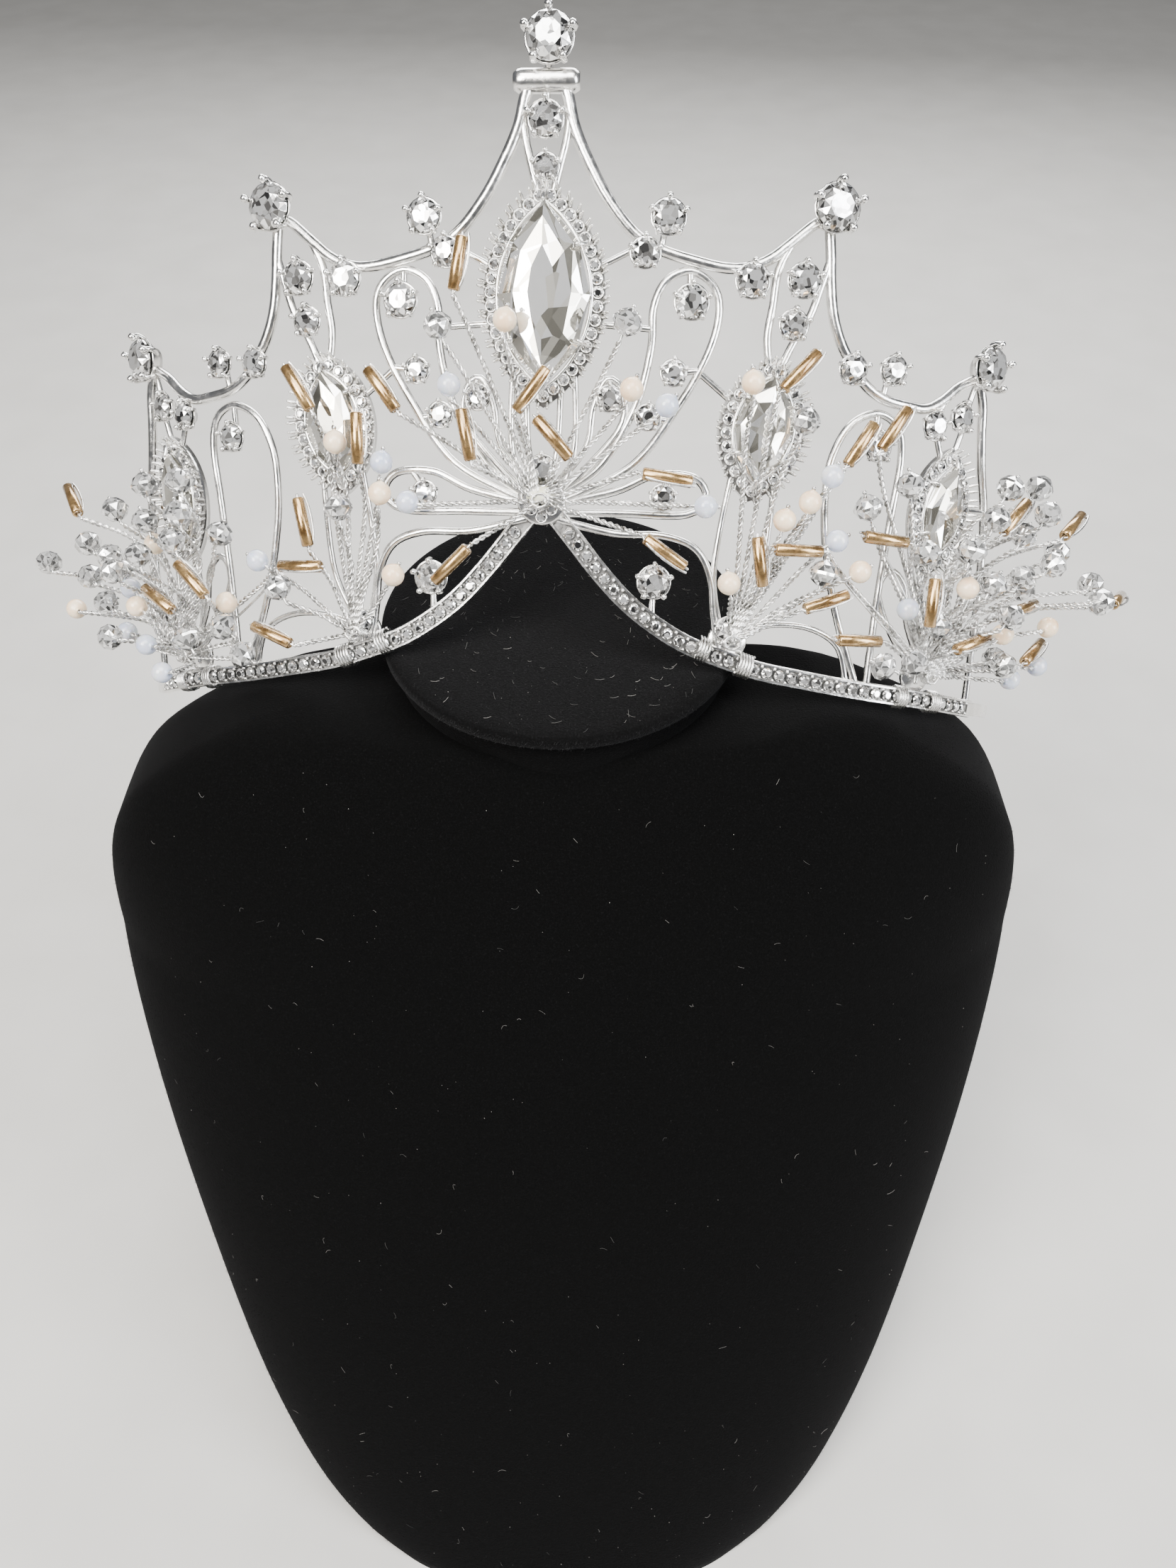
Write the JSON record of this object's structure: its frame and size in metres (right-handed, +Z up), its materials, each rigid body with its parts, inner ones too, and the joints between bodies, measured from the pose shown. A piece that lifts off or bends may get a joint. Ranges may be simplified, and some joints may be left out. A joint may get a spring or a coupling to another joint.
{
  "type": "bridal tiara on a velvet neck bust",
  "caption": "Silver bridal tiara with cut stones, concave spires and wired pearl, opal and bugle sprays, leaning back on a black velvet neck bust.",
  "frame": {"origin": "on the underside of the bust's foot, straight below the middle of the neck's flat pad", "axes": "+Z up, +X to the viewer's right of the tiara's front, +Y towards the bust's flat back"},
  "size_m": [0.2288, 0.1775, 0.2767],
  "materials": {
    "velvet": "matt pile",
    "silver": "bright plated",
    "crystal": "clear cut stone with a foiled back",
    "wire": "bound silver wire",
    "pearl": "cream pearl",
    "opal": "milky opal",
    "bugle": "silver-lined champagne glass"
  },
  "bodies": {
    "root": {"neck_bust": "velvet", "neck_cap": "velvet", "tiara_frame": "silver", "small_stones": "crystal", "band_stones_l": "crystal", "band_stones_r": "crystal", "spray_wires": "wire", "pearl_beads": "pearl", "opal_beads": "opal", "crystal_beads": "crystal", "bugle_beads": "bugle", "a_navette": "crystal", "a_crest": "crystal", "a_loop": "crystal", "a_small": "crystal", "a_hub": "crystal", "b_crest_l": "crystal", "b_crest_r": "crystal", "b_loop_l": "crystal", "b_loop_r": "crystal", "b_small_l": "crystal", "b_small_r": "crystal", "b_outer_l": "crystal", "b_outer_r": "crystal", "b_hub_l": "crystal", "b_hub_r": "crystal", "ab_tip_l": "crystal", "ab_tip_r": "crystal", "ab_side_l": "crystal", "ab_side_r": "crystal", "ab_arc_l": "crystal", "ab_arc_r": "crystal", "a_ring_top_l": "crystal", "a_ring_top_r": "crystal", "a_ring_mid_l": "crystal", "a_ring_mid_r": "crystal", "v_arm_l": "crystal", "v_arm_r": "crystal", "bc_tip_l": "crystal", "bc_tip_r": "crystal", "bc_ring_l": "crystal", "bc_ring_r": "crystal", "c_crest_l": "crystal", "c_crest_r": "crystal", "c_hub_l": "crystal", "c_hub_r": "crystal", "b_navette_l": "crystal", "b_navette_r": "crystal", "c_navette_l": "crystal", "c_navette_r": "crystal"}
  },
  "joints": []
}
